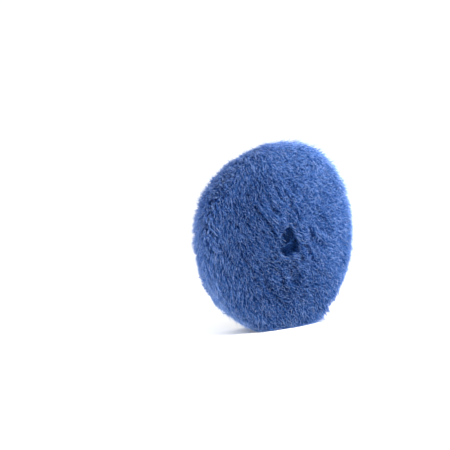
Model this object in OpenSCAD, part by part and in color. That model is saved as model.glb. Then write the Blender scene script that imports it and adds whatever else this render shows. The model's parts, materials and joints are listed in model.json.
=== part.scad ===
// Wool polishing pad for a machine polisher with a 150 mm hook-and-loop plate.
//
// The pad stands on its rim, as it does on a bench. Its axis runs along Y: the loop
// face looks along +Y and the wool face along -Y. The origin is the centre of the
// loop face, so every depth below is measured from there, into the pad.

/* [Loop backing] */
// Diameter of the loop disc, the same as the polisher's plate
loop_d = 150; // [125:1:180]
// Thickness of the brushed loop fabric
loop_t = 2; // [1:0.1:3]

/* [Centre hole] */
// Diameter of the centring hole, which goes through every layer
hole_d = 25; // [15:1:40]

/* [Inner layers] */
// Thickness of the foam interface
foam_t = 4; // [2:0.5:8]
// Thickness of each hot-melt film that bonds two layers
film_t = 0.3; // [0.2:0.1:0.6]
// Thickness of the knitted cloth that the pile grows from
cloth_t = 1.2; // [0.8:0.1:2]

/* [Wool pile] */
// Length of the pile in front of its cloth
pile_t = 24; // [12:1:30]
// How far the pile spreads past the loop disc at the wool face, all round
pile_spread = 10; // [6:0.5:13]
// How far the pile spreads past the loop disc at its back edge, all round
back_spread = 5; // [4:0.5:6]
// Radius of the rounded edge between the wool face and the rim
face_round = 6; // [3:0.5:8]
// Radius of the rounded lip where the pile leans into the centre hole
lip_round = 5; // [2:0.5:7]
// Depth from the loop face to where the spread pile starts
rim_back = 2; // [1:0.5:5]
// Height of pile that the pad's own weight presses flat underneath
foot_flat = 7; // [0:0.5:8]

/* [Hidden] */
$fn = 96;

loop_r = loop_d / 2;
hole_r = hole_d / 2;
pile_r = loop_r + pile_spread;
back_r = loop_r + back_spread;

// Depth of each layer's back, counted from the loop face
backing_film_y = loop_t;
foam_y = backing_film_y + film_t;
pile_film_y = foam_y + foam_t;
cloth_y = pile_film_y + film_t;
pile_y = cloth_y + cloth_t;
face_y = pile_y + pile_t;

// Clear gap between the spread pile and the edges of the firm layers
edge_gap = 0.2;
// Radius of the edge where the spread pile ends, near the loop face
rim_round = 3;
// How far a cutting shape runs past what it cuts
past = 1;

// Turns a shape drawn upwards from Z = 0 so that it runs into the pad, along -Y
module into_pad(depth = 0) {
    translate([0, -depth, 0])
        rotate([90, 0, 0])
            children();
}

// One flat layer: a disc of the loop's diameter with the centring hole in it
module layer(depth, thickness) {
    into_pad(depth)
        difference() {
            cylinder(h = thickness, r = loop_r);
            translate([0, 0, -past])
                cylinder(h = thickness + 2 * past, r = hole_r);
        }
}

// The pile's cross-section before its rim is tapered: rounded at the lip of the hole,
// at the edge of the wool face and at the back edge, with a pocket for the firm layers
module pile_section() {
    difference() {
        translate([hole_r, rim_back])
            square([pile_r - hole_r, face_y - rim_back]);
        corner_cut(hole_r, face_y, lip_round, 1, -1);
        corner_cut(pile_r, face_y, face_round, -1, -1);
        corner_cut(back_r, rim_back, rim_round, -1, 1);
        square([loop_r + edge_gap, pile_y]);
    }
}

// What a fillet of the given radius takes off the corner at (x, y). The signs point
// from the corner into the material.
module corner_cut(x, y, radius, sign_x, sign_y) {
    translate([x, y])
        scale([sign_x, sign_y])
            difference() {
                translate([-past, -past])
                    square(radius + past);
                translate([radius, radius])
                    circle(r = radius);
            }
}

// Black brushed nylon loop that grips the hooks of the plate
module loop_backing() {
    color("#17191c")
        layer(0, loop_t);
}

// Hot-melt film between the loop fabric and the foam
module backing_film() {
    color("#c9ccd2")
        layer(backing_film_y, film_t);
}

// Soft polyurethane foam that lets the pad follow a curved panel
module foam_interface() {
    color("#6d8fd0")
        layer(foam_y, foam_t);
}

// Hot-melt film between the foam and the pile's cloth
module pile_film() {
    color("#c9ccd2")
        layer(pile_film_y, film_t);
}

// Knitted cloth that every tuft of the pile is locked into
module pile_cloth() {
    color("#2f4f9a")
        layer(cloth_y, cloth_t);
}

// The cone that the pile's rim follows, from its back edge out to the wool face
module rim_taper() {
    taper_t = face_y - face_round - rim_back;
    slope = (pile_r - back_r) / taper_t;
    into_pad(rim_back - past)
        cylinder(
            h = face_y - rim_back + 2 * past,
            r1 = back_r - slope * past,
            r2 = back_r + slope * (face_y - rim_back + past)
        );
}

// Dense wool pile: it covers the front, fans out past the disc and wraps the edges of
// the firm layers, and it is pressed flat where the pad stands
module wool_pile() {
    color("#3f63ae")
        intersection() {
            into_pad()
                rotate_extrude()
                    pile_section();
            rim_taper();
            translate([-pile_r - past, -face_y - past, foot_flat - pile_r])
                cube([2 * (pile_r + past), face_y + 2 * past, 2 * pile_r + past]);
        }
}

loop_backing();
backing_film();
foam_interface();
pile_film();
pile_cloth();
wool_pile();
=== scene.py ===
"""Looks of the wool polishing pad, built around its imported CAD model.

The pad stands on its rim with its axis along Y: the wool face looks along -Y and the
loop face along +Y. Lengths are in metres. "Depth" is the distance from the loop face
into the pad, so the wool face lies at the largest depth.
"""
import json
import math
from itertools import product

import bpy
import numpy as np
from mathutils import Matrix, Vector
from mathutils.kdtree import KDTree


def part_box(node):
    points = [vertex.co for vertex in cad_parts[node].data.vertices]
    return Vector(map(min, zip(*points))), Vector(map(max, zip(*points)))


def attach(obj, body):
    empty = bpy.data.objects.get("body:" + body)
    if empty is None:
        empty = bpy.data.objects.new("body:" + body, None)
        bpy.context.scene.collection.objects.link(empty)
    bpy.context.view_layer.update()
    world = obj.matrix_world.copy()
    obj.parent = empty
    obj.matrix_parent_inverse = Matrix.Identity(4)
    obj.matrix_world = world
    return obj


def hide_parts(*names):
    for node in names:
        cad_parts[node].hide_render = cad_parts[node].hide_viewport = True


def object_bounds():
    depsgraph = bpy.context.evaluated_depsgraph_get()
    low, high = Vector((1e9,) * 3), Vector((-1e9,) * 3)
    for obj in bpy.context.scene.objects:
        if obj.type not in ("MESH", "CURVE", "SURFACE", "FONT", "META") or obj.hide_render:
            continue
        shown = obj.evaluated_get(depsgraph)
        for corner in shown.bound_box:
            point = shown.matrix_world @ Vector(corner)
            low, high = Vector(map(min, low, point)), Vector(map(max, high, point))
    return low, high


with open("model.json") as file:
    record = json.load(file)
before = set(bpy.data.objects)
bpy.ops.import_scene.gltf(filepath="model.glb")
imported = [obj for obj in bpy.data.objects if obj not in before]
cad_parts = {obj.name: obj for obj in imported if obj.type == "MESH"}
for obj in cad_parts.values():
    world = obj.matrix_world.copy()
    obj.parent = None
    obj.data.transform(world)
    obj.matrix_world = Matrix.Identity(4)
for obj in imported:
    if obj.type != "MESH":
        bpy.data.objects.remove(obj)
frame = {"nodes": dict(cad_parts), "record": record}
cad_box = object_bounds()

MM = 0.001


# ---------------------------------------------------------------- sizes, from the frame

def mount(name):
    """The record's mount of that name."""
    return next(m for m in frame["record"]["mounts"] if m["name"] == name)


def depths(node):
    """A node's back and front, as depths from the loop face."""
    low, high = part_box(node)
    return -high.y, -low.y


HOLE_R = mount("centre_hole")["dims"]["r_mm"] * MM
LOOP_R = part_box("loop_backing")[1].x
PILE_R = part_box("wool_pile")[1].z
FLOOR_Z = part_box("wool_pile")[0].z
LOOP_BACK, LOOP_FRONT = depths("loop_backing")
FOAM_BACK, FOAM_FRONT = depths("foam_interface")
CLOTH_BACK, CLOTH_FRONT = depths("pile_cloth")
RIM_BACK, FACE = depths("wool_pile")

# Rounded edges of the pile's outer form
BACK_ROUND = 3 * MM
SHOULDER_ROUND = 9 * MM
LIP_ROUND = 6 * MM
# Radius of the rim's back edge, from which it fans out to the wool face
BACK_R = LOOP_R + 5 * MM
# Where the pile's outer form starts behind, as (radius, depth), just outside the disc
PILE_START = (LOOP_R + 0.3 * MM, RIM_BACK + 1 * MM)
# How far the foam's edge stands out past the loop disc's
FOAM_PROUD = 0.5 * MM
# Size of the foam's cells, and of the knitted cloth's loops
FOAM_CELL = 0.9 * MM
KNIT_PITCH = 1.4 * MM


# ---------------------------------------------------------------- small tools

class Noise:
    """Smooth repeatable noise between -1 and 1 at points in space."""

    def __init__(self, seed, cells=32):
        self.cells = cells
        self.lattice = np.random.default_rng(seed).uniform(-1, 1, (cells, cells, cells))

    def __call__(self, points, scale):
        """Noise with features of about the given size."""
        cell = points / scale
        corner = np.floor(cell).astype(int)
        part = cell - corner
        part = part * part * (3 - 2 * part)
        total = np.zeros(len(points))
        for step in product((0, 1), repeat=3):
            index = (corner + step) % self.cells
            weight = np.prod(np.where(step, part, 1 - part), axis=1)
            total += weight * self.lattice[index[:, 0], index[:, 1], index[:, 2]]
        return total


def unit(vectors):
    """The vectors at length 1."""
    return vectors / np.maximum(np.linalg.norm(vectors, axis=-1, keepdims=True), 1e-12)


def blend(low, high, share):
    """Moves from low to high as share goes from 0 to 1."""
    return low + (high - low) * share


def smooth_step(value, low, high):
    """Rises smoothly from 0 at low to 1 at high."""
    share = np.clip((value - low) / (high - low), 0, 1)
    return share * share * (3 - 2 * share)


# The real root of x^3 = x + 1, whose powers spread points most evenly over a square
PLASTIC_NUMBER = 1.32471795724474602596


def spread(count, seed):
    """Evenly spread pairs of numbers between 0 and 1, in no visible pattern."""
    start = np.random.default_rng(seed).uniform(size=2)
    index = np.arange(count)[:, None]
    return (start + index * np.array([1 / PLASTIC_NUMBER, 1 / PLASTIC_NUMBER ** 2])) % 1


def at_angle(radius, angle, depth):
    """Points in space from radius, angle round the axis and depth into the pad."""
    depth = np.broadcast_to(depth, np.broadcast_shapes(np.shape(radius), np.shape(angle)))
    return np.stack([radius * np.cos(angle), -depth, radius * np.sin(angle)], axis=-1)


# ---------------------------------------------------------------- the pile's outer form

# Distance between the points of the outer form
PROFILE_STEP = 0.25 * MM


def form_profile():
    """The outer form as (radius, depth) points, from the back rim round to the hole."""
    def line(start, end):
        count = max(2, int(math.dist(start, end) / PROFILE_STEP))
        return [np.linspace(start, end, count, endpoint=False)]

    def arc(centre, radius, start, end):
        # A quarter circle is about 1.5 radii long
        count = max(2, int(radius * 1.5 / PROFILE_STEP))
        turn = np.radians(np.linspace(start, end, count, endpoint=False))
        return [np.array(centre) + radius * np.stack([np.cos(turn), np.sin(turn)], axis=1)]

    back = (BACK_R - BACK_ROUND, RIM_BACK + BACK_ROUND)
    shoulder = (PILE_R - SHOULDER_ROUND, FACE - SHOULDER_ROUND)
    lip = (HOLE_R + LIP_ROUND, FACE - LIP_ROUND)
    parts = line(PILE_START, (back[0], RIM_BACK))
    parts += arc(back, BACK_ROUND, -90, 0)
    parts += line((BACK_R, back[1]), (PILE_R, shoulder[1]))
    parts += arc(shoulder, SHOULDER_ROUND, 0, 90)
    parts += line((shoulder[0], FACE), (lip[0], FACE))
    parts += arc(lip, LIP_ROUND, 90, 180)
    return np.concatenate(parts)


PROFILE = form_profile()
# Fibres that root further out than this fan outwards to cover the rim
FAN_START = 50 * MM
# No fibre roots nearer the axis than this
ROOT_MIN_R = HOLE_R + 0.5 * LIP_ROUND


def profile_facts():
    """Distance along the profile, its outward normals, and where each fibre roots."""
    steps = np.linalg.norm(np.diff(PROFILE, axis=0), axis=1)
    along = np.concatenate([[0], np.cumsum(steps)])
    tangent = unit(np.gradient(PROFILE, axis=0))
    normal = np.stack([tangent[:, 1], -tangent[:, 0]], axis=1)
    face = along > along[-1] * 0.5
    fan_end = np.interp(-FAN_START, -PROFILE[face, 0], along[face])
    fanned = blend(LOOP_R, FAN_START, along / fan_end)
    root_radius = np.where(along < fan_end, fanned, np.maximum(PROFILE[:, 0], ROOT_MIN_R))
    return along, normal, root_radius


ALONG, NORMAL, ROOT_RADIUS = profile_facts()


class Tips:
    """Where a set of fibres or locks ends on the pile's outer form."""

    def __init__(self, share, turn):
        """share goes along the profile by area, and turn round the axis, from 0 to 1."""
        mean_radius = (PROFILE[1:, 0] + PROFILE[:-1, 0]) / 2
        area = np.concatenate([[0], np.cumsum(mean_radius * np.diff(ALONG))])
        along = np.interp(share * area[-1], area, ALONG)
        depth = np.interp(along, ALONG, PROFILE[:, 1])
        self.angle = 2 * math.pi * turn
        self.radius = np.interp(along, ALONG, PROFILE[:, 0])
        self.place = at_angle(self.radius, self.angle, depth)
        out = np.interp(along, ALONG, NORMAL[:, 0])
        forward = np.interp(along, ALONG, NORMAL[:, 1])
        self.normal = unit(at_angle(out, self.angle, forward))
        root = at_angle(np.interp(along, ALONG, ROOT_RADIUS), self.angle, CLOTH_FRONT)
        self.rise = unit(self.place - root)
        self.reach = np.linalg.norm(self.place - root, axis=1)
        # From 0 to 1: how far onto the wool face, how near the rim's back edge, and how
        # far from the shoulder towards the middle of the face
        self.on_face = smooth_step(depth, FACE - 0.7 * SHOULDER_ROUND, FACE)
        self.on_back = 1 - smooth_step(depth, RIM_BACK + 1 * MM, RIM_BACK + 9 * MM)
        self.inner = self.on_face * smooth_step(PILE_R - self.radius, 8 * MM, 32 * MM)


# ---------------------------------------------------------------- how the pile is combed

height_noise = Noise(seed=11)
comb_noise = Noise(seed=12)
crease_noise = Noise(seed=13)
shade_noise = Noise(seed=14)
edge_noise = Noise(seed=15)


def along_surface(vectors, normal):
    """The vectors turned so that they run along the surface."""
    return unit(vectors - normal * np.sum(vectors * normal, axis=1, keepdims=True) + 1e-9)


# Degrees round the axis that the pile is combed to, and how much steeper it gets at the
# pad's left, where it is up to three times that at the top
COMB_ANGLE = -51
COMB_STEEPER = 16
# How far the combing wanders either way, in radians
COMB_WANDER = 0.4
# How far the pile on the rim also leans forwards, towards the wool face
RIM_FORWARD = 0.45
# How far locks stray from the combing, where it is least and most tidy
STRAY_MOST = 1.8
STRAY_LEAST = 0.5


def comb(tips):
    """Unit vectors along the surface that show which way the pile leans."""
    x, z = tips.place[:, 0], tips.place[:, 2]
    steeper = smooth_step(-x, 0, 50 * MM) * (1 + 2 * smooth_step(z, 0, 50 * MM))
    angle = np.radians(COMB_ANGLE - COMB_STEEPER * steeper)
    angle = angle + COMB_WANDER * comb_noise(tips.place, 24 * MM)
    angle = angle + COMB_WANDER * comb_noise(tips.place + 1, 8 * MM)
    lean = at_angle(1, angle, RIM_FORWARD * (1 - tips.on_face))
    # At the rim's back edge the pile fans straight outwards
    outward = at_angle(1, tips.angle, 0)
    return along_surface(blend(lean, 2 * outward, tips.on_back[:, None]), tips.normal)


def untidiness(tips):
    """How far locks stray from the combing, which is tidier on the pad's left side."""
    left = smooth_step(0.35 * tips.place[:, 2] - tips.place[:, 0], 0, 40 * MM)
    return blend(STRAY_MOST, STRAY_LEAST, left)


# Where the rim stands out (+) or falls short (-), as degrees round the axis and mm, and
# how many degrees each such place is wide
RIM_UNEVENNESS = ((42, 2.5), (103, -3.0), (160, 3.5), (245, -4.0), (306, 3.5))
RIM_UNEVENNESS_WIDTH = 15


def rim_offset(angle):
    """How far the rim stands out from a true circle at an angle round the axis."""
    total = np.zeros(len(angle))
    for centre, height in RIM_UNEVENNESS:
        apart = (np.degrees(angle) - centre + 180) % 360 - 180
        total += height * MM * np.exp(-0.5 * (apart / RIM_UNEVENNESS_WIDTH) ** 2)
    return total


# How far the combing carries the mouth of the hole from the bore behind it
MOUTH_SHIFT = np.array([5.5, 0, -3.5]) * MM
# How far the mouth's three-cornered shape departs from a circle. One corner points up.
MOUTH_CORNERS = 1.7 * MM


def open_mouth(points):
    """Moves pile near the hole, so that the hole's mouth is off its centre and uneven."""
    x, depth, z = points[..., 0], -points[..., 1], points[..., 2]
    radius, angle = np.hypot(x, z), np.arctan2(z, x)
    near = 1 - smooth_step(radius, 1.2 * HOLE_R, 3.2 * HOLE_R)
    near = near * smooth_step(depth, CLOTH_FRONT, FACE - LIP_ROUND)
    corners = MOUTH_CORNERS * np.cos(3 * angle - 1.5 * math.pi)
    outward = at_angle(1, angle, 0)
    return points + near[..., None] * (MOUTH_SHIFT + corners[..., None] * outward)


# Direction of the long creases, round the axis, how wide they are, how much longer than
# wide, and how far the pile's surface dips in them, in mm
CREASE_ANGLE = math.radians(-50)
CREASE_WIDTH = 3.2 * MM
CREASE_STRETCH = 5
CREASE_DIP = 5.0


def creases(tips):
    """Where long creases run between the locks, from 0 to 1. Most are near the hole."""
    along, across = at_angle(1, CREASE_ANGLE, 0), at_angle(1, CREASE_ANGLE + math.pi / 2, 0)
    wander = 1.5 * MM * edge_noise(tips.place, 14 * MM)
    lengthwise = tips.place @ along / CREASE_STRETCH
    crosswise = tips.place @ across + wander
    stretched = np.stack([lengthwise, crosswise, np.zeros(len(wander))], axis=1)
    depth = smooth_step(-crease_noise(stretched, CREASE_WIDTH), 0.1, 0.6)
    return depth * blend(1.0, 0.2, smooth_step(tips.radius, 20 * MM, 60 * MM))


def sink(tips, crease):
    """How far the pile's surface dips at each place. On the rim it bulges instead."""
    uneven = 0.5 + 0.5 * height_noise(tips.place, 6 * MM)
    rim = 1 - tips.on_face
    bulge = 1.6 + 0.8 * edge_noise(tips.place, 20 * MM)
    return (CREASE_DIP * crease + uneven - rim * bulge) * MM - rim * rim_offset(tips.angle)


def nearest(places, centres):
    """For each place, the index of the nearest centre."""
    tree = KDTree(len(centres))
    for index, centre in enumerate(centres):
        tree.insert(centre, index)
    tree.balance()
    return np.array([tree.find(place)[1] for place in places])


# ---------------------------------------------------------------- fibres as meshes

# Where along a fibre its rings lie, from its inner end to its tip, and their widths
RINGS = np.array([0, 0.22, 0.42, 0.60, 0.76, 0.90, 1])
TAPER = np.array([0.8, 1, 1, 0.95, 0.8, 0.55, 0])
SEGMENT_MIDDLES = (RINGS[:-1] + RINGS[1:]) / 2
SIDES = 3
# A strand has two triangles on each side of a segment, one on each side of its tip, and
# a flat inner end
STRAND_TRIANGLES = 2 * SIDES * (len(RINGS) - 2) + SIDES + SIDES - 2
# A piece over 200,000 triangles would be thinned when it is exported
PIECE_TRIANGLES = 190_000


def strand_pattern():
    """One strand's faces, as vertex numbers, and the segment that each face belongs to."""
    faces, segments = [tuple(reversed(range(SIDES)))], [0]
    for ring, side in product(range(len(RINGS) - 2), range(SIDES)):
        a, b = ring * SIDES + side, ring * SIDES + (side + 1) % SIDES
        faces.append((a, b, b + SIDES, a + SIDES))
        segments.append(ring)
    last = (len(RINGS) - 2) * SIDES
    for side in range(SIDES):
        faces.append((last + side, last + (side + 1) % SIDES, last + SIDES))
        segments.append(len(RINGS) - 2)
    return faces, np.array(segments)


def strand_vertices(paths, widths, rng):
    """Rings of vertices round each path, closed by a point at its tip."""
    along = unit(np.gradient(paths, axis=1))
    side = unit(np.cross(along, unit(rng.normal(size=(len(paths), 1, 3)))))
    up = np.cross(along, side)
    turn = 2 * math.pi * np.arange(SIDES) / SIDES
    outward = side[:, :-1, None] * np.cos(turn)[:, None] + up[:, :-1, None] * np.sin(turn)[:, None]
    rings = paths[:, :-1, None] + widths[:, :-1, None, None] / 2 * outward
    count = len(paths)
    return np.concatenate([rings.reshape(count, -1, 3), paths[:, -1:]], axis=1)


def strand_piece(name, paths, widths, shades, materials, rng):
    """One mesh object of many closed strands. shades gives a material for each segment."""
    vertices = strand_vertices(paths, widths, rng)
    faces, segments = strand_pattern()
    corners = np.array([corner for face in faces for corner in face])
    sizes = np.tile([len(face) for face in faces], len(paths))
    offsets = np.arange(len(paths))[:, None] * vertices.shape[1]
    mesh = bpy.data.meshes.new(name)
    mesh.vertices.add(vertices.shape[0] * vertices.shape[1])
    mesh.vertices.foreach_set("co", vertices.astype(np.float32).ravel())
    mesh.loops.add(len(corners) * len(paths))
    mesh.loops.foreach_set("vertex_index", (corners + offsets).ravel().astype(np.int32))
    mesh.polygons.add(len(sizes))
    starts = np.concatenate([[0], np.cumsum(sizes)[:-1]])
    mesh.polygons.foreach_set("loop_start", starts.astype(np.int32))
    mesh.polygons.foreach_set("material_index", shades[:, segments].ravel().astype(np.int32))
    mesh.update()
    mesh.validate()
    mesh.shade_smooth()
    for material in materials:
        mesh.materials.append(material)
    piece = bpy.data.objects.new(name, mesh)
    bpy.context.scene.collection.objects.link(piece)
    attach(piece, "root")
    return piece


def in_sectors(name, angle, paths, widths, shades, materials):
    """Splits strands into cake slices, so that no piece is too large, and makes them."""
    count = math.ceil(len(paths) * STRAND_TRIANGLES / PIECE_TRIANGLES)
    order = np.argsort(angle % (2 * math.pi), kind="stable")
    pieces = []
    for number, chosen in enumerate(np.array_split(order, count), start=1):
        piece = strand_piece(
            f"{name}_{number}", paths[chosen], widths[chosen], shades[chosen], materials,
            np.random.default_rng(number),
        )
        pieces.append(piece)
    return pieces


# ---------------------------------------------------------------- materials

def new_material(name, roughness):
    """A material with one Principled shader, its node tree and that shader."""
    material = bpy.data.materials.new(name)
    material.use_nodes = True
    shader = material.node_tree.nodes["Principled BSDF"]
    shader.inputs["Roughness"].default_value = roughness
    return material, material.node_tree, shader


def node(tree, kind, inputs=None, **settings):
    """Adds a node. An input is set to a value, or linked where it is given a socket."""
    made = tree.nodes.new(kind)
    for name, value in settings.items():
        setattr(made, name, value)
    for name, value in (inputs or {}).items():
        if isinstance(value, bpy.types.NodeSocket):
            tree.links.new(value, made.inputs[name])
        else:
            made.inputs[name].default_value = value
    return made


def ramp(tree, value, stops, low=0.0, high=1.0):
    """A colour that goes through evenly spaced stops as a value goes from low to high."""
    made = node(tree, "ShaderNodeValToRGB", {"Fac": value})
    elements = made.color_ramp.elements
    while len(elements) < len(stops):
        elements.new(0.5)
    for element, colour, share in zip(elements, stops, np.linspace(low, high, len(stops))):
        element.position = float(share)
        element.color = (*colour, 1)
    return made.outputs["Color"]


def bump(tree, shader, height, distance):
    """Raises the surface by the height pattern."""
    made = node(tree, "ShaderNodeBump", {"Height": height, "Distance": distance, "Strength": 1.0})
    tree.links.new(made.outputs["Normal"], shader.inputs["Normal"])


def noise_pattern(tree, size, detail=2.0):
    """A noise value with features of about the given size."""
    place = node(tree, "ShaderNodeTexCoord").outputs["Object"]
    inputs = {"Vector": place, "Scale": 1 / size, "Detail": detail}
    return node(tree, "ShaderNodeTexNoise", inputs).outputs["Fac"]


def loop_material():
    """Black brushed nylon: dull, finely speckled where loops catch the light."""
    material, tree, shader = new_material("brushed_loop", 0.85)
    shader.inputs["Specular IOR Level"].default_value = 0.1
    fine = noise_pattern(tree, 0.7 * MM, 3)
    dark, mid, light = (0.001, 0.0012, 0.0016), (0.003, 0.0036, 0.0045), (0.040, 0.046, 0.054)
    tree.links.new(ramp(tree, fine, (dark, mid, light), 0.38, 0.78), shader.inputs["Base Color"])
    bump(tree, shader, fine, 0.4 * MM)
    return material


def foam_material():
    """Open-cell foam: pale cell walls round darker pores, whose darkness is painted shade."""
    material, tree, shader = new_material("open_cell_foam", 0.8)
    place = node(tree, "ShaderNodeTexCoord").outputs["Object"]
    inputs = {"Vector": place, "Scale": 1 / FOAM_CELL}
    cells = node(tree, "ShaderNodeTexVoronoi", inputs).outputs["Distance"]
    # The pores' darker colour is painted shade
    pore_shade, wall = (0.05, 0.09, 0.26), (0.20, 0.31, 0.62)
    tree.links.new(ramp(tree, cells, (pore_shade, wall), 0.15, 0.6), shader.inputs["Base Color"])
    bump(tree, shader, cells, 0.5 * MM)
    return material


def film_material():
    """Hot-melt film: milky and slightly mottled where it flowed."""
    material, tree, shader = new_material("hot_melt_film", 0.35)
    flow = noise_pattern(tree, 3 * MM, 2)
    thick, thin = (0.24, 0.31, 0.48), (0.36, 0.44, 0.62)
    tree.links.new(ramp(tree, flow, (thick, thin), 0.3, 0.7), shader.inputs["Base Color"])
    bump(tree, shader, flow, 0.15 * MM)
    return material


def knit_material():
    """Knitted cloth: rows of small loops in dark blue yarn, with painted shade in the gaps between
    them.
    """
    material, tree, shader = new_material("knitted_cloth", 0.85)
    shader.inputs["Sheen Weight"].default_value = 0.2
    place = node(tree, "ShaderNodeTexCoord").outputs["Object"]
    # At scale 1 a wave texture has about 3.2 bands in a metre
    inputs = {"Vector": place, "Scale": 1 / (3.2 * KNIT_PITCH), "Distortion": 1.0, "Detail": 1}
    rows, columns = (
        node(tree, "ShaderNodeTexWave", inputs, bands_direction=way).outputs["Fac"]
        for way in ("X", "Z")
    )
    crossed = node(tree, "ShaderNodeMath", {0: rows, 1: columns}, operation="MULTIPLY")
    loops = crossed.outputs["Value"]
    # The gap colour is painted shade between the loops
    gap, yarn = (0.010, 0.024, 0.110), (0.050, 0.110, 0.360)
    tree.links.new(ramp(tree, loops, (gap, yarn)), shader.inputs["Base Color"])
    bump(tree, shader, loops, 0.4 * MM)
    return material


def core_material():
    """The depth of the pile, seen only between locks. Its dark colour is painted shade, and its
    paler colour in the thin rim is painted light shining through.
    """
    material, tree, shader = new_material("wool_depth_shade", 0.9)
    clumps = noise_pattern(tree, 1.5 * MM, 3)
    # Painted shade deep in the pile, and painted light through the thin rim
    deep_shade = ramp(tree, clumps, ((0.003, 0.019, 0.090), (0.009, 0.045, 0.190)), 0.3, 0.7)
    thin = ramp(tree, clumps, ((0.012, 0.065, 0.260), (0.040, 0.130, 0.400)), 0.3, 0.7)
    place = node(tree, "ShaderNodeTexCoord").outputs["Object"]
    across = node(tree, "ShaderNodeVectorMath", {0: place, 1: (1, 0, 1)}, operation="MULTIPLY")
    radius = node(tree, "ShaderNodeVectorMath", {0: across.outputs["Vector"]}, operation="LENGTH")
    inputs = {"Value": radius.outputs["Value"], "From Min": 60 * MM, "From Max": 76 * MM}
    rim = node(tree, "ShaderNodeMapRange", inputs).outputs["Result"]
    colour = node(tree, "ShaderNodeMixRGB", {"Fac": rim, "Color1": deep_shade, "Color2": thin})
    tree.links.new(colour.outputs["Color"], shader.inputs["Base Color"])
    bump(tree, shader, clumps, 0.8 * MM)
    return material


def ramp_colour(stops, level):
    """The colour at a level from 0 to 1 along evenly spaced stops."""
    places = np.linspace(0, 1, len(stops))
    return [float(np.interp(level, places, channel)) for channel in zip(*stops)]


FIBRE_SHEEN_ROUGHNESS = 0.4
FIBRE_SPECULAR = 0.06


def fibre_materials(name, stops, count, roughness, sheen=0.0, sheen_tint=(1, 1, 1)):
    """One plain material for each shade of a fibre, from its deepest to its palest. The
    paler it is, the more sheen it has."""
    made = []
    for number in range(count):
        material, tree, shader = new_material(f"{name}_{number + 1}", roughness)
        level = number / (count - 1)
        shader.inputs["Base Color"].default_value = (*ramp_colour(stops, level), 1)
        shader.inputs["Sheen Weight"].default_value = sheen * level
        shader.inputs["Sheen Roughness"].default_value = FIBRE_SHEEN_ROUGHNESS
        shader.inputs["Sheen Tint"].default_value = (*sheen_tint, 1)
        shader.inputs["Specular IOR Level"].default_value = FIBRE_SPECULAR
        made.append(material)
    return made


def to_shades(level, count, rng):
    """Rounds levels to the nearest shade, with a little scatter so that no bands show."""
    scattered = level * (count - 1) + rng.uniform(-0.5, 0.5, level.shape)
    return np.clip(np.rint(scattered), 0, count - 1)


# Colours of the wool on the face, from the shaded roots to the palest tips. They are partly the
# wool's dye, and partly painted: shade at the roots and light at the tips
WOOL_STOPS = (
    (0.001, 0.012, 0.060),
    (0.007, 0.047, 0.212),
    (0.049, 0.138, 0.410),
    (0.270, 0.378, 0.690),
    (0.640, 0.750, 0.980),
)
# Light shines through the thin rim, so its blue is clearer
RIM_STOPS = (
    (0.004, 0.040, 0.200),
    (0.013, 0.095, 0.400),
    (0.064, 0.182, 0.540),
    (0.230, 0.365, 0.690),
    (0.620, 0.735, 0.930),
)
# How many shades each of the two sets has, and how the light plays on them
WOOL_SHADES = 9
WOOL_ROUGHNESS = 0.62
WOOL_SHEEN = 0.08
WOOL_SHEEN_TINT = (0.5, 0.65, 1.0)


def wool_materials():
    """The wool's shades: first the face's, then the rim's."""
    made = []
    for name, stops in (("wool_shade", WOOL_STOPS), ("wool_rim_shade", RIM_STOPS)):
        made += fibre_materials(
            name, stops, WOOL_SHADES, WOOL_ROUGHNESS, WOOL_SHEEN, WOOL_SHEEN_TINT,
        )
    return made


# ---------------------------------------------------------------- the wool

FIBRES = 92_000
FLYAWAYS = 17_000
HOLE_FIBRES = 4_800
LOCKS = 26_000
# Tufts are groups of locks that draw together a little. They stand about a pitch apart.
TUFTS = 560
TUFT_PITCH = 8.2 * MM
TUFT_DRAW = 0.08
# Share of the fibres that are thick and pale, and stand above the others
THICK_SHARE = 0.14
# Lengths in mm, from here to the widths: a lock's length on the rim and on the face
LENGTH_RIM = 11
LENGTH_FACE = 7
# How far a lock leans over on the rim, just inside the shoulder, further in, and on the
# rim's back edge
LEAN_RIM = 5.5
LEAN_SHOULDER = 7.5
LEAN_INNER = 3.6
LEAN_BACK = 1.5
# Size of a lock's hook
HOOK = 0.6
# Widths of fibres, from the thinnest to the widest, and what a thick fibre has more
FIBRE_WIDTHS = (0.26, 0.42)
THICK_EXTRA = 0.18
FLYAWAY_WIDTHS_FACE = (0.26, 0.40)
FLYAWAY_WIDTHS_RIM = (0.12, 0.22)
HOLE_FIBRE_WIDTHS = (0.35, 0.60)

# Paleness goes from 0 to 1. This is the face's own, and what adds to it or takes from it
PALE_FACE = 0.065
PALE_PATCHES = 0.06
PALE_LOCKS = 0.05
PALE_FIBRES = 0.05
PALE_MATTED = 0.10
# Painted light and shade, from here to the end of this list: paler at the upper right and on the
# rim as painted light, less of it on the rim's top, paler at the left edge, and painted shade in
# the creases and at the lip of the hole
PAINTED_LIGHT_UPPER_RIGHT = 0.27
PAINTED_LIGHT_RIM = 0.26
PAINTED_LIGHT_LEFT_EDGE = 0.07
PAINTED_SHADE_RIM_TOP = 0.13
PAINTED_SHADE_CREASES = 0.18
PAINTED_SHADE_LIP = 0.14
# How much paler than its root a fibre's tip is, and what a thick fibre adds to that. This is
# partly the wool's own and partly painted: shade at the root and light on the tip
PALE_TIP = 0.15
PALE_THICK_TIP = 0.24
# Paleness of the loose fibres
FLYAWAY_PALENESS = (0.42, 0.60)


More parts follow.
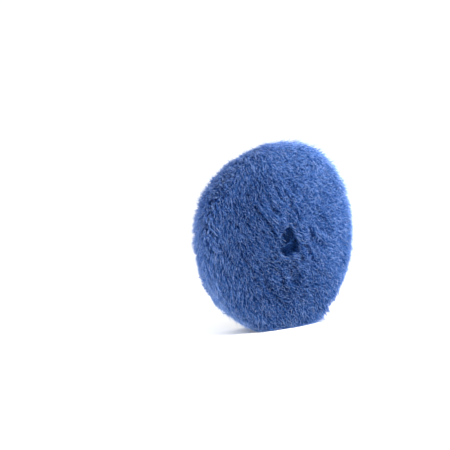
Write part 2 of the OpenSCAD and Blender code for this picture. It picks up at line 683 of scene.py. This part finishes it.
class Locks:
    """Bundles of fibres, which decide how the fibres in them lean, hook and dip."""

    def __init__(self, count, tuft_count, seed):
        rng = np.random.default_rng(seed)
        self.tips = Tips(*spread(count, seed).T)
        tufts = Tips(*spread(tuft_count, seed + 1).T)
        face = self.tips.on_face
        # Which way a lock leans, which way it stands, and which way it hooks
        combed = comb(self.tips)
        swirl = along_surface(rng.normal(size=(count, 3)), self.tips.normal)
        stray = blend(0.7, untidiness(self.tips), face) * rng.random(count)
        self.lean = unit(combed + swirl * stray[:, None])
        askew = blend(0.22, 0.12, face)[:, None] * rng.normal(size=(count, 3))
        self.rise = unit(self.tips.rise + askew)
        self.side = unit(np.cross(self.rise, self.lean))
        # How far it leans over, how long it is, and the size, turns and start of its hook
        lean_length = blend(blend(LEAN_RIM, LEAN_SHOULDER, face), LEAN_INNER, self.tips.inner)
        lean_length = blend(lean_length, LEAN_BACK, self.tips.on_back)
        variation = 1 + blend(0.25, 0.55, face) * rng.uniform(-1, 1, count)
        self.lean_length = lean_length * MM * variation
        self.length = np.minimum(blend(LENGTH_RIM, LENGTH_FACE, face) * MM, self.tips.reach)
        self.hook = HOOK * MM * rng.uniform(0.3, 1.2, count)
        self.turns = rng.uniform(0.5, 1.1, count)
        self.phase = rng.uniform(0, 2 * math.pi, count)
        # How far it lies in a crease, how far it dips, and how its colour varies
        self.crease = creases(self.tips)
        self.dip = sink(self.tips, self.crease) + rng.uniform(0, 1.3, count) * MM * face
        self.patch = rng.normal(0, 1, count)
        # Its way to the middle of its tuft. On the rim a tuft stands out at its middle.
        to_tuft = tufts.place[nearest(self.tips.place, tufts.place)] - self.tips.place
        apart = np.linalg.norm(to_tuft, axis=1) / TUFT_PITCH
        self.to_tuft = to_tuft * TUFT_DRAW
        self.dip = self.dip - (1 - face) * 1.5 * MM * (0.6 - apart)

    def paths(self, of, t):
        """Where fibres of the given locks run, at shares t of their length."""
        def each(values):
            # One row per fibre, to go with every ring along it
            return values[of].reshape(len(of), 1, -1)

        t = t[..., None]
        swing = each(self.phase) + 2 * math.pi * each(self.turns) * t
        place = each(self.tips.place) - each(self.rise) * each(self.length) * (1 - t)
        place = place + each(self.lean) * each(self.lean_length) * (t ** 1.7 - 0.35)
        place = place + each(self.side) * each(self.hook) * np.sin(swing) * t
        place = place + each(self.lean) * each(self.hook) * np.cos(swing) * t
        place = place - each(self.tips.normal) * each(self.dip) * t
        return place + each(self.to_tuft) * t ** 1.5


def curled(paths, t, sizes, turns, rng):
    """Adds each fibre's own curl, as a helix that grows towards the tip. sizes and turns
    say the least and the most: the curl's radius in mm, and its number of turns."""
    count = len(paths)
    size = rng.uniform(*sizes, count) * MM
    turn = rng.uniform(*turns, count)
    along = unit(paths[:, -1] - paths[:, 0])
    side = unit(np.cross(along, rng.normal(size=(count, 3))))
    up = np.cross(along, side)
    swing = rng.uniform(0, 2 * math.pi, count)[:, None] + 2 * math.pi * turn[:, None] * t
    swing = swing[..., None]
    grown = size[:, None, None] * (0.3 + 0.7 * t[..., None])
    return paths + grown * (np.cos(swing) * side[:, None] + np.sin(swing) * up[:, None])


def groom(locks, count, seed):
    """Paths, widths and shades of the pile's fibres, held together in their locks."""
    rng = np.random.default_rng(seed)
    tips = Tips(*spread(count, seed).T)
    of = nearest(tips.place, locks.tips.place)
    light = 1.0 * (rng.random(count) < THICK_SHARE)
    t = RINGS * (rng.uniform(0.80, 1.02, count) + 0.10 * light)[:, None]
    hold = rng.uniform(0.45, 0.8, count)[:, None, None]
    offset = (tips.place - locks.tips.place[of])[:, None]
    paths = locks.paths(of, t) + offset * (1 - hold * t[..., None] ** 1.4)
    paths = curled(paths, t, (0.2, 0.7), (0.8, 2.0), rng)
    widths = (rng.uniform(*FIBRE_WIDTHS, count) + THICK_EXTRA * light)[:, None] * MM * TAPER
    shades = wool_shades(wool_level(tips, locks, of, light, rng), tips, rng)
    return tips, open_mouth(paths), widths, shades


def wool_level(tips, locks, of, light, rng):
    """How pale each segment of each fibre is, from 0 to 1. light is 1 for thick fibres."""
    x, z = tips.place[:, 0], tips.place[:, 2]
    rim = 1 - tips.on_face
    # Painted light: the rim is painted paler than the face, as light shining through it, though
    # less so at the top, where the light from above already falls strongest
    rim_light = PAINTED_LIGHT_RIM - PAINTED_SHADE_RIM_TOP * smooth_step(z, 45 * MM, 80 * MM)
    # Painted light: the upper right, on the lamps' side, is painted paler, and there tips are
    # painted less pale than their roots, so light and shade differ less there
    upper_right_light = smooth_step(z + 0.9 * x, -20 * MM, 60 * MM)
    patches = shade_noise(tips.place, 18 * MM)
    base = PALE_FACE + PALE_PATCHES * patches + PALE_LOCKS * locks.patch[of]
    # Painted shade darkens the fibres that lie in the creases
    base = base - PAINTED_SHADE_CREASES * locks.crease[of]
    # The pile is more matted round the hole, so it is patchier there
    matted = 1 - smooth_step(tips.radius, 25 * MM, 60 * MM)
    base = base + PALE_MATTED * matted * shade_noise(tips.place + 1, 7 * MM)
    # Painted shade darkens it at the lip of the hole
    lip = 1 - smooth_step(tips.radius, HOLE_R + 1 * MM, HOLE_R + 7 * MM)
    base = base - PAINTED_SHADE_LIP * lip
    # Painted light: on the left the rim's painted paleness reaches a little way onto the face
    left_edge_light = smooth_step(-x, 0, 60 * MM) * smooth_step(tips.radius, 62 * MM, 80 * MM)
    base = base + PALE_FIBRES * rng.normal(size=len(of)) + PAINTED_LIGHT_UPPER_RIGHT * upper_right_light
    base = base + rim_light * rim + PAINTED_LIGHT_LEFT_EDGE * left_edge_light
    # Tips are paler than roots: partly the wool's own, partly painted shade at the roots and
    # painted light on the tips
    paler = (PALE_TIP + PALE_THICK_TIP * light) * (1 - 0.55 * upper_right_light) * (1 - 0.4 * rim)
    level = base[:, None] + paler[:, None] * SEGMENT_MIDDLES ** 1.3
    # The very tips are paler on the rim, where light shines through them
    return level + 0.16 * rim[:, None] * SEGMENT_MIDDLES ** 6


def wool_shades(level, tips, rng):
    """Shade numbers of each segment. The rim takes the second set of shades."""
    on_rim = rng.random(len(level)) > tips.on_face
    return to_shades(level, WOOL_SHADES, rng) + WOOL_SHADES * on_rim[:, None]


def flyaways(locks, count, seed):
    """Loose pale fibres that left their locks. They stand out furthest on the rim."""
    rng = np.random.default_rng(seed)
    tips = Tips(*spread(count, seed).T)
    of = nearest(tips.place, locks.tips.place)
    rim = 1 - tips.on_face
    t = RINGS * blend(1.05, 1.5, rim * rng.random(count) ** 2)[:, None]
    offset = (tips.place - locks.tips.place[of])[:, None]
    paths = locks.paths(of, t) + offset
    paths = curled(paths, t, (0.4, 1.3), (0.7, 1.6), rng)
    on_face = rng.uniform(*FLYAWAY_WIDTHS_FACE, count)
    on_rim = rng.uniform(*FLYAWAY_WIDTHS_RIM, count)
    widths = blend(on_face, on_rim, rim)[:, None] * MM * TAPER
    level = rng.uniform(*FLYAWAY_PALENESS, count)[:, None] + 0.25 * (SEGMENT_MIDDLES - 0.5)
    # On the rim they are painted paler still, as light shining through them
    level = level + 0.15 * rim[:, None]
    return tips, open_mouth(paths), widths, wool_shades(level, tips, rng)


def hole_fibres(count, seed):
    """Fibres that lean into the hole from all round and close it inside the pile. Their deep
    colours are painted shade.
    """
    rng = np.random.default_rng(seed)
    angle = 2 * math.pi * rng.random(count)
    room = FACE - LIP_ROUND - CLOTH_FRONT
    root_depth = CLOTH_FRONT + 0.75 * room * rng.random(count) ** 1.5
    root = at_angle(HOLE_R + 3 * MM * rng.random(count), angle, root_depth)
    tip_angle = angle + 0.5 * rng.normal(size=count)
    # Some reach forward into the mouth and make its edge uneven
    forward = 0.2 + 0.6 * (rng.random(count) < 0.25)
    tip_depth = np.minimum(root_depth + forward * room * rng.random(count), FACE - 2 * MM)
    tip = at_angle(HOLE_R * blend(-0.35, 1, np.sqrt(rng.random(count))), tip_angle, tip_depth)
    t = RINGS * np.ones(count)[:, None]
    paths = blend(root[:, None], tip[:, None], t[..., None])
    paths = paths - np.array([0, 2 * MM, 0]) * (t * (1 - t))[..., None]
    paths = curled(paths, t, (0.3, 0.9), (0.7, 1.6), rng)
    widths = rng.uniform(*HOLE_FIBRE_WIDTHS, count)[:, None] * MM * TAPER
    # A few are pale, and the wool round the lower side catches more light
    paler = 0.4 * (rng.random(count) < 0.05) + 0.02 * (1 - np.sin(angle))
    # Their low paleness is painted shade inside the hole
    level = (0.05 * np.abs(rng.normal(size=count)) + paler)[:, None] + 0.04 * RINGS[:-1]
    return angle, open_mouth(paths), widths, to_shades(level, WOOL_SHADES, rng)


def press_on_floor(paths):
    """Bends fibres that would go through the floor, and spreads them along it."""
    x, y, z = paths[..., 0], paths[..., 1], paths[..., 2]
    margin = 2.5 * MM
    low = FLOOR_Z + 0.1 * MM
    under = np.maximum(low + margin - z, 0)
    pressed = low + margin * np.exp(-under / margin)
    sideways = 0.35 * under * np.sign(x) * smooth_step(np.abs(x), 0, 30 * MM)
    lengthwise = 0.30 * under * np.sign(y + (CLOTH_FRONT + FACE) / 2)
    return np.stack([x + sideways, y + lengthwise, np.where(under > 0, pressed, z)], axis=-1)


def keep_off_disc(paths):
    """Bends fibres round the edge of the loop disc, so that none stands over it."""
    x, y, z = paths[..., 0], paths[..., 1], paths[..., 2]
    # How far back a fibre may reach beside the disc, and out by the rim's back edge
    beside = smooth_step(np.hypot(x, z), LOOP_R + 1 * MM, LOOP_R + 7 * MM)
    limit = blend(-1.5, 3.5, beside) * MM
    margin = 2 * MM
    over = np.maximum(y - limit + margin, 0)
    bent = np.where(over > 0, limit - margin * np.exp(-over / margin), y)
    return np.stack([x, bent, z], axis=-1)


def make_wool():
    """The visible pile: face, shoulder, rim, lip of the hole and the hole's inside."""
    def settle(paths):
        return press_on_floor(keep_off_disc(paths))

    materials = wool_materials()
    locks = Locks(LOCKS, TUFTS, seed=21)
    tips, paths, widths, shades = groom(locks, FIBRES, seed=31)
    in_sectors("wool_fibres", tips.angle, settle(paths), widths, shades, materials)
    tips, paths, widths, shades = flyaways(locks, FLYAWAYS, seed=41)
    in_sectors("wool_flyaways", tips.angle, settle(paths), widths, shades, materials)
    angle, paths, widths, shades = hole_fibres(HOLE_FIBRES, seed=51)
    in_sectors("wool_in_hole", angle, paths, widths, shades, materials)


# ---------------------------------------------------------------- turned pieces

def lathe(name, section, turns, offset, warp=np.asarray):
    """A closed surface of revolution. section is (radius, depth) points round a closed
    loop, offset(points, normals) says how far each vertex moves along its normal, and
    warp(points) gives their last places."""
    section = np.array(section)
    tangent = unit(np.roll(section, -1, axis=0) - np.roll(section, 1, axis=0))
    normal = np.stack([tangent[:, 1], -tangent[:, 0]], axis=1)
    angle = 2 * math.pi * np.arange(turns) / turns
    places = at_angle(section[None, :, 0], angle[:, None], section[None, :, 1]).reshape(-1, 3)
    normals = at_angle(normal[None, :, 0], angle[:, None], normal[None, :, 1]).reshape(-1, 3)
    places = places + normals * offset(places, normals)[:, None]
    count = len(section)
    ring, step = np.meshgrid(np.arange(turns), np.arange(count), indexing="ij")
    next_ring, next_step = (ring + 1) % turns, (step + 1) % count
    faces = np.stack([
        ring * count + step, ring * count + next_step,
        next_ring * count + next_step, next_ring * count + step,
    ], axis=-1).reshape(-1, 4)
    mesh = bpy.data.meshes.new(name)
    mesh.from_pydata(warp(places).tolist(), [], faces.tolist())
    mesh.update()
    mesh.shade_smooth()
    piece = bpy.data.objects.new(name, mesh)
    bpy.context.scene.collection.objects.link(piece)
    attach(piece, "root")
    return piece


def ring_section(inner, outer, back, front, radius, step):
    """The outline of a flat ring's section, as (radius, depth) points that start at its
    outer back corner. radius rounds its corners, and step is the gap between its points."""
    corners = (
        ((outer - radius, back + radius), -90),
        ((outer - radius, front - radius), 0),
        ((inner + radius, front - radius), 90),
        ((inner + radius, back + radius), 180),
    )
    points = []
    for (x, y), start in corners:
        for turn in np.radians(np.linspace(start, start + 90, 4)):
            points.append((x + radius * math.cos(turn), y + radius * math.sin(turn)))
    points.append(points[0])
    dense = []
    for start, end in zip(points, points[1:]):
        count = max(1, round(math.dist(start, end) / step))
        across = np.array(end) - start
        dense += [tuple(np.array(start) + across * s / count) for s in range(count)]
    return dense


# ---------------------------------------------------------------- stage, light and camera

# Where most of the surrounding light comes from, and its strength there and opposite
LIGHT_FROM = (0.15, 0.60, 0.79)
LIGHT_STRONGEST = 1.6
LIGHT_WEAKEST = 0.0
# How bright the surroundings look to the camera
BACKDROP = 1.05
# Colours of the lamps
WARM = (1.0, 0.92, 0.82)
COOL = (0.8, 0.9, 1.0)
# Each lamp's name, place, size in metres, power in watts and colour
LAMPS = (
    ("key", (0.16, -0.20, 0.20), 0.2, 2.3, WARM),
    ("side", (0.23, -0.25, 0.08), 0.2, 1.4, WARM),
    ("fill", (-0.36, -0.06, 0.10), 0.3, 0.6, COOL),
)
# The point on the wool face that the lamps look at
LAMP_TARGET = (0.03, -0.03, 0.03)
FLOOR_HALF = 4.0


def make_stage():
    """A plain pale floor."""
    ways = ((-1, -1), (1, -1), (1, 1), (-1, 1))
    corners = [(x * FLOOR_HALF, y * FLOOR_HALF, FLOOR_Z) for x, y in ways]
    mesh = bpy.data.meshes.new("floor")
    mesh.from_pydata(corners, [], [(0, 1, 2, 3)])
    material, tree, shader = new_material("pale_floor", 0.9)
    shader.inputs["Base Color"].default_value = (0.95, 0.95, 0.95, 1)
    shader.inputs["Specular IOR Level"].default_value = 0.1
    mesh.materials.append(material)
    floor = bpy.data.objects.new("floor", mesh)
    bpy.context.scene.collection.objects.link(floor)


def make_world():
    """White surroundings. Their light is strongest from above and behind the pad, and
    weaker from the front, as in a light tent."""
    world = bpy.data.worlds.new("studio")
    world.use_nodes = True
    tree = world.node_tree
    background = tree.nodes["Background"]
    direction = node(tree, "ShaderNodeTexCoord").outputs["Generated"]
    inputs = {0: direction, 1: LIGHT_FROM}
    towards = node(tree, "ShaderNodeVectorMath", inputs, operation="DOT_PRODUCT")
    strength = node(tree, "ShaderNodeMapRange", {
        "Value": towards.outputs["Value"], "From Min": -1, "From Max": 1,
        "To Min": LIGHT_WEAKEST, "To Max": LIGHT_STRONGEST,
    })
    seen = node(tree, "ShaderNodeLightPath").outputs["Is Camera Ray"]
    shown = node(tree, "ShaderNodeMix", {
        "Factor": seen, "A": strength.outputs["Result"], "B": BACKDROP,
    })
    tree.links.new(shown.outputs["Result"], background.inputs["Strength"])
    background.inputs["Color"].default_value = (1, 1, 1, 1)
    bpy.context.scene.world = world
    bpy.context.scene.view_settings.view_transform = "Standard"


def make_lamp(name, place, size, power, colour):
    """A soft square light that looks at the wool face."""
    light = bpy.data.lights.new(name, "AREA")
    light.size = size
    light.energy = power
    light.color = colour
    lamp = bpy.data.objects.new(name, light)
    lamp.location = place
    heading = Vector(LAMP_TARGET) - Vector(place)
    lamp.rotation_euler = heading.to_track_quat("-Z", "Y").to_euler()
    bpy.context.scene.collection.objects.link(lamp)


# The camera looks at the wool face from its left and a little above
VIEW_AZIMUTH = math.radians(-39.5)
VIEW_ELEVATION = math.radians(5.6)
VIEW_ROLL = math.radians(-0.5)
# The lens and the sensor's width, in mm
LENS = 85
SENSOR = 36
# Height of the view at the pad, in metres, and how far right of and below the view's
# middle the pad's centre stands, as shares of that height
VIEW_HEIGHT = 0.392
PAD_RIGHT = 0.113
PAD_DOWN = 0.020


def make_camera():
    """Sets the camera so that the pad stands right of the middle of the picture."""
    data = bpy.data.cameras.new("camera")
    data.lens = LENS
    data.sensor_width = SENSOR
    data.clip_start = 0.01
    data.clip_end = 50
    camera = bpy.data.objects.new("camera", data)
    bpy.context.scene.collection.objects.link(camera)
    back = Vector((
        math.sin(VIEW_AZIMUTH) * math.cos(VIEW_ELEVATION),
        -math.cos(VIEW_AZIMUTH) * math.cos(VIEW_ELEVATION),
        math.sin(VIEW_ELEVATION),
    ))
    low, high = cad_box
    middle = (low + high) / 2
    turn = (-back).to_track_quat("-Z", "Y") @ Matrix.Rotation(VIEW_ROLL, 3, "Z").to_quaternion()
    right, up = turn @ Vector((1, 0, 0)), turn @ Vector((0, 1, 0))
    distance = VIEW_HEIGHT * LENS / SENSOR
    aim = middle - right * PAD_RIGHT * VIEW_HEIGHT + up * PAD_DOWN * VIEW_HEIGHT
    camera.location = aim + back * distance
    camera.rotation_mode = "QUATERNION"
    camera.rotation_quaternion = turn
    bpy.context.scene.camera = camera


# ---------------------------------------------------------------- the core and the layers

# How far the core lies inside the pile's outer form, on the face and on the rim, in mm.
# It is closer on the rim, where fibres fan out, so that no gap shows between them.
CORE_INSIDE_FACE = 5.6
CORE_INSIDE_RIM = 4.4
# The core's section takes one in so many of the profile's points
CORE_EVERY = 12
# The core is flat underneath, at this height
CORE_LOW = FLOOR_Z + 4 * MM


def core_section():
    """The dense inner part of the pile, a few millimetres inside its outer form."""
    outer, normal = PROFILE[::CORE_EVERY], NORMAL[::CORE_EVERY]
    on_rim = smooth_step(outer[:, :1], 60 * MM, 78 * MM)
    keep = outer - normal * blend(CORE_INSIDE_FACE, CORE_INSIDE_RIM, on_rim) * MM
    keep = keep[(keep[:, 1] > CLOTH_FRONT + 1 * MM) & (keep[:, 0] > HOLE_R)]
    start = (keep[0][0], CLOTH_FRONT + 0.2 * MM)
    inner = (HOLE_R + 1 * MM, CLOTH_FRONT + 0.2 * MM)
    edge = (HOLE_R + 1 * MM, keep[-1][1] - 1 * MM)
    back = [(blend(inner[0], start[0], s), inner[1]) for s in np.linspace(0, 1, 12)[:-1]]
    return [*back, start, *keep.tolist(), edge]


def make_core():
    """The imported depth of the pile, which shows as shade between the locks."""
    def packed(places, normals):
        below = (CORE_LOW - places[:, 2]) / np.minimum(normals[:, 2], -0.3)
        lift = np.where(places[:, 2] < CORE_LOW, below, 0)
        return 0.8 * MM * height_noise(places, 4 * MM) + lift

    core = lathe("wool_core", core_section(), turns=180, offset=packed, warp=open_mouth)
    core.data.materials.append(core_material())
    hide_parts("wool_pile")


def make_foam():
    """The foam interface, with a cut edge that stands a little proud of the loop disc."""
    def pores(places, normals):
        fine = 0.18 * MM * height_noise(places, FOAM_CELL)
        return fine + 0.15 * MM * edge_noise(places, 6 * MM)

    section = ring_section(
        HOLE_R, LOOP_R + FOAM_PROUD, FOAM_BACK, FOAM_FRONT, radius=0.6 * MM, step=0.7 * MM,
    )
    foam = lathe("foam_ring", section, turns=420, offset=pores)
    foam.data.materials.append(foam_material())
    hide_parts("foam_interface")
    return foam


def make_cloth():
    """The knitted cloth that the pile grows from."""
    def rows(places, normals):
        wave = np.sin(2 * math.pi * places[:, 2] / KNIT_PITCH)
        return 0.12 * MM * wave * np.abs(normals[:, 1])

    section = ring_section(
        HOLE_R, LOOP_R, CLOTH_BACK, CLOTH_FRONT, radius=0.4 * MM, step=1.6 * MM,
    )
    cloth = lathe("knit_cloth", section, turns=360, offset=rows)
    cloth.data.materials.append(knit_material())
    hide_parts("pile_cloth")


NAP_LOOPS = 18_000
NAP_SHADES = 5
NAP_ROUGHNESS = 0.7
# Colours of the nap's black nylon, from shaded to glinting
NAP_STOPS = ((0.001, 0.0012, 0.0015), (0.004, 0.0045, 0.0055), (0.260, 0.280, 0.300))


def nap_loops(count, seed):
    """Small nylon loops that rise from the fabric's back and return to it."""
    rng = np.random.default_rng(seed)
    radius = np.sqrt(rng.uniform((HOLE_R + 1 * MM) ** 2, (LOOP_R - 1 * MM) ** 2, count))
    angle = 2 * math.pi * rng.random(count)
    heading = 2 * math.pi * rng.random(count)
    along = np.stack([np.cos(heading), np.zeros(count), np.sin(heading)], axis=1)
    across = np.stack([-np.sin(heading), np.zeros(count), np.cos(heading)], axis=1)
    t = RINGS[None, :, None]
    length = rng.uniform(1.2, 2.8, count)[:, None, None] * MM
    height = rng.uniform(0.25, 0.8, count)[:, None, None] * MM
    bend = rng.uniform(-0.6, 0.6, count)[:, None, None] * MM
    paths = at_angle(radius, angle, LOOP_BACK)[:, None] + along[:, None] * length * (t - 0.5)
    paths = paths + across[:, None] * bend * np.sin(math.pi * t)
    paths = paths + np.array([0, 1, 0]) * (height * np.sin(math.pi * t) - 0.1 * MM)
    widths = rng.uniform(0.12, 0.22, count)[:, None] * MM * TAPER
    level = rng.beta(0.7, 3.5, count)[:, None] * np.ones(len(RINGS) - 1)
    return angle, paths, widths, to_shades(level, NAP_SHADES, rng)


def make_loop_disc():
    """The black loop fabric, with its nap standing on it as separate fibres."""
    def brushed(places, normals):
        facing_out = np.clip(normals[:, 1], 0, 1)
        fine, broad = height_noise(places, 1.1 * MM), edge_noise(places, 11 * MM)
        return facing_out * (0.14 * fine + 0.2 * broad) * MM

    section = ring_section(
        HOLE_R, LOOP_R, LOOP_BACK, LOOP_FRONT, radius=0.5 * MM, step=0.8 * MM,
    )
    disc = lathe("loop_disc", section, turns=480, offset=brushed)
    disc.data.materials.append(loop_material())
    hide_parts("loop_backing")
    nylon = fibre_materials("nap_shade", NAP_STOPS, NAP_SHADES, NAP_ROUGHNESS)
    angle, paths, widths, shades = nap_loops(NAP_LOOPS, seed=61)
    loops = in_sectors("loop_nap", angle, paths, widths, shades, nylon)


def finish_films():
    """The two films keep their CAD shape and take their own material."""
    material = film_material()
    for name in ("backing_film", "pile_film"):
        film = frame["nodes"][name]
        for slot in film.material_slots:
            slot.material = material


make_camera()
make_stage()
make_world()
for lamp in LAMPS:
    make_lamp(*lamp)

make_wool()
make_core()
foam_ring = make_foam()
make_cloth()
make_loop_disc()
finish_films()
